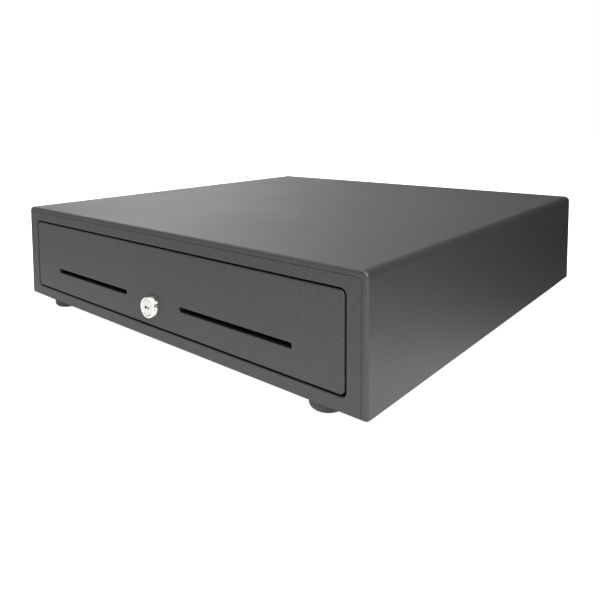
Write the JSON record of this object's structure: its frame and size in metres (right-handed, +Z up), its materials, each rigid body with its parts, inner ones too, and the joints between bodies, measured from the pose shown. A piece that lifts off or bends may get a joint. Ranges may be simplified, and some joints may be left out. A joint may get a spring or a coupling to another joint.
{
  "type": "cash drawer",
  "caption": "Low steel cash drawer with a sliding till on telescopic slides, two document slots, a key lock, a solenoid latch and round rubber feet.",
  "frame": {"origin": "middle of the overall box, on the surface that the feet stand on, with the drawer shut", "axes": "+Z up, the drawer's front faces -Y and it opens along -Y, +X is to the right seen from the front"},
  "size_m": [0.41, 0.42, 0.1],
  "materials": {
    "powder_coat": "fine textured satin powder coat, charcoal black",
    "zinc_steel": "zinc plated sheet, satin",
    "slide_steel": "bright zinc, lightly oiled",
    "bright_steel": "bright zinc plate",
    "spring_wire": "drawn spring wire",
    "yoke_iron": "nickel plated iron",
    "lock_chrome": "polished chrome plate",
    "plug_metal": "satin nickel plate",
    "brass_nut": "machined",
    "black_rubber": "matte moulded rubber",
    "till_plastic": "moulded, fine grain",
    "clip_plastic": "moulded, satin",
    "guide_plastic": "moulded, satin",
    "bobbin_nylon": "natural nylon",
    "copper_winding": "enamelled copper wire",
    "switch_plastic": "moulded, satin",
    "socket_plastic": "moulded, gloss",
    "board_green": "solder resist, gloss",
    "loom_pvc": "soft PVC sleeve"
  },
  "bodies": {
    "cabinet": {"back_panel": "powder_coat", "base_pan": "powder_coat", "bumper_posts": "bright_steel", "bumpers": "black_rubber", "coil_bobbin": "bobbin_nylon", "coil_winding": "copper_winding", "eject_spring": "spring_wire", "feet": "black_rubber", "foot_nuts": "bright_steel", "foot_screws": "bright_steel", "front_frame": "powder_coat", "latch_pivot_pin": "bright_steel", "latch_platform": "zinc_steel", "outer_cover": "powder_coat", "plunger_spring": "spring_wire", "rj_socket": "socket_plastic", "slide_brackets": "zinc_steel", "slide_outer_left": "slide_steel", "slide_outer_right": "slide_steel", "slide_screws": "bright_steel", "small_screws": "bright_steel", "socket_board": "board_green", "solenoid_yoke": "yoke_iron", "spring_cap": "guide_plastic", "spring_guide": "bright_steel", "switch_body": "switch_plastic", "top_brace": "zinc_steel", "wiring_loom": "loom_pvc"},
    "drawer": {"drawer_front": "powder_coat", "drawer_pan": "zinc_steel", "drawer_rivets": "bright_steel", "front_screws": "bright_steel", "lock_housing": "lock_chrome", "lock_nut": "brass_nut", "rod_bush": "guide_plastic", "rod_guide": "zinc_steel", "slide_inner_left": "slide_steel", "slide_inner_right": "slide_steel", "slot_guides": "guide_plastic", "striker": "zinc_steel", "till_rails": "zinc_steel", "till_tray": "till_plastic", "coin_tray": "till_plastic", "clip_rod": "bright_steel", "clip_springs": "spring_wire"},
    "slide_middle_left": {"slide_middle_left": "slide_steel"},
    "slide_middle_right": {"slide_middle_right": "slide_steel"},
    "inner_cages": {"inner_ball_cages": "bright_steel"},
    "outer_cages": {"outer_ball_cages": "bright_steel"},
    "bill_clip_1": {"bill_clip_1": "clip_plastic"},
    "bill_clip_2": {"bill_clip_2": "clip_plastic"},
    "bill_clip_3": {"bill_clip_3": "clip_plastic"},
    "bill_clip_4": {"bill_clip_4": "clip_plastic"},
    "bill_clip_5": {"bill_clip_5": "clip_plastic"},
    "lock_plug": {"lock_plug": "plug_metal", "lock_cam": "bright_steel", "release_rod": "bright_steel"},
    "plunger": {"solenoid_plunger": "bright_steel"},
    "latch": {"latch_lever": "bright_steel"},
    "switch_leaf": {"switch_leaf": "bright_steel"}
  },
  "joints": [
    {"name": "drawer_slide", "type": "slide", "parent": "cabinet", "child": "drawer", "axis": [0, -1, 0], "range_m": [0, 0.3]},
    {"name": "slide_middle_left_run", "type": "slide", "parent": "cabinet", "child": "slide_middle_left", "axis": [0, -1, 0], "range_m": [0, 0.15]},
    {"name": "slide_middle_right_run", "type": "slide", "parent": "cabinet", "child": "slide_middle_right", "axis": [0, -1, 0], "range_m": [0, 0.15]},
    {"name": "outer_cages_roll", "type": "slide", "parent": "cabinet", "child": "outer_cages", "axis": [0, -1, 0], "range_m": [0, 0.075]},
    {"name": "inner_cages_roll", "type": "slide", "parent": "cabinet", "child": "inner_cages", "axis": [0, -1, 0], "range_m": [0, 0.225]},
    {"name": "bill_clip_1_lift", "type": "hinge", "parent": "drawer", "child": "bill_clip_1", "pos_m": [-0.1376, 0.152, 0.073], "axis": [-1, 0, 0], "range_deg": [0, 24], "stiffness_Nm_per_rad": 0.03, "springref_deg": -34.38},
    {"name": "bill_clip_2_lift", "type": "hinge", "parent": "drawer", "child": "bill_clip_2", "pos_m": [-0.0688, 0.152, 0.073], "axis": [-1, 0, 0], "range_deg": [0, 24], "stiffness_Nm_per_rad": 0.03, "springref_deg": -34.38},
    {"name": "bill_clip_3_lift", "type": "hinge", "parent": "drawer", "child": "bill_clip_3", "pos_m": [0, 0.152, 0.073], "axis": [-1, 0, 0], "range_deg": [0, 24], "stiffness_Nm_per_rad": 0.03, "springref_deg": -34.38},
    {"name": "bill_clip_4_lift", "type": "hinge", "parent": "drawer", "child": "bill_clip_4", "pos_m": [0.0688, 0.152, 0.073], "axis": [-1, 0, 0], "range_deg": [0, 24], "stiffness_Nm_per_rad": 0.03, "springref_deg": -34.38},
    {"name": "bill_clip_5_lift", "type": "hinge", "parent": "drawer", "child": "bill_clip_5", "pos_m": [0.1376, 0.152, 0.073], "axis": [-1, 0, 0], "range_deg": [0, 24], "stiffness_Nm_per_rad": 0.03, "springref_deg": -34.38},
    {"name": "lock_turn", "type": "hinge", "parent": "drawer", "child": "lock_plug", "pos_m": [0, -0.205, 0.0364], "axis": [0, -1, 0], "range_deg": [0, 90]},
    {"name": "plunger_run", "type": "slide", "parent": "cabinet", "child": "plunger", "axis": [1, 0, 0], "range_m": [-0.0027, 0]},
    {"name": "latch_turn", "type": "hinge", "parent": "cabinet", "child": "latch", "pos_m": [0.014, 0.198, 0.046], "axis": [0, 0, 1], "range_deg": [-14, 0]},
    {"name": "switch_leaf_turn", "type": "hinge", "parent": "cabinet", "child": "switch_leaf", "pos_m": [-0.023, 0.1955, 0.046], "axis": [0, 0, 1], "range_deg": [0, 8]}
  ],
  "couplings": [
    {"joint": "slide_middle_left_run", "follows": "drawer_slide", "ratio": 0.5},
    {"joint": "slide_middle_right_run", "follows": "drawer_slide", "ratio": 0.5},
    {"joint": "outer_cages_roll", "follows": "drawer_slide", "ratio": 0.25},
    {"joint": "inner_cages_roll", "follows": "drawer_slide", "ratio": 0.75},
    {"joint": "latch_turn", "follows": "plunger_run", "rad_per_m": 90},
    {"joint": "switch_leaf_turn", "follows": "plunger_run", "rad_per_m": -51}
  ]
}
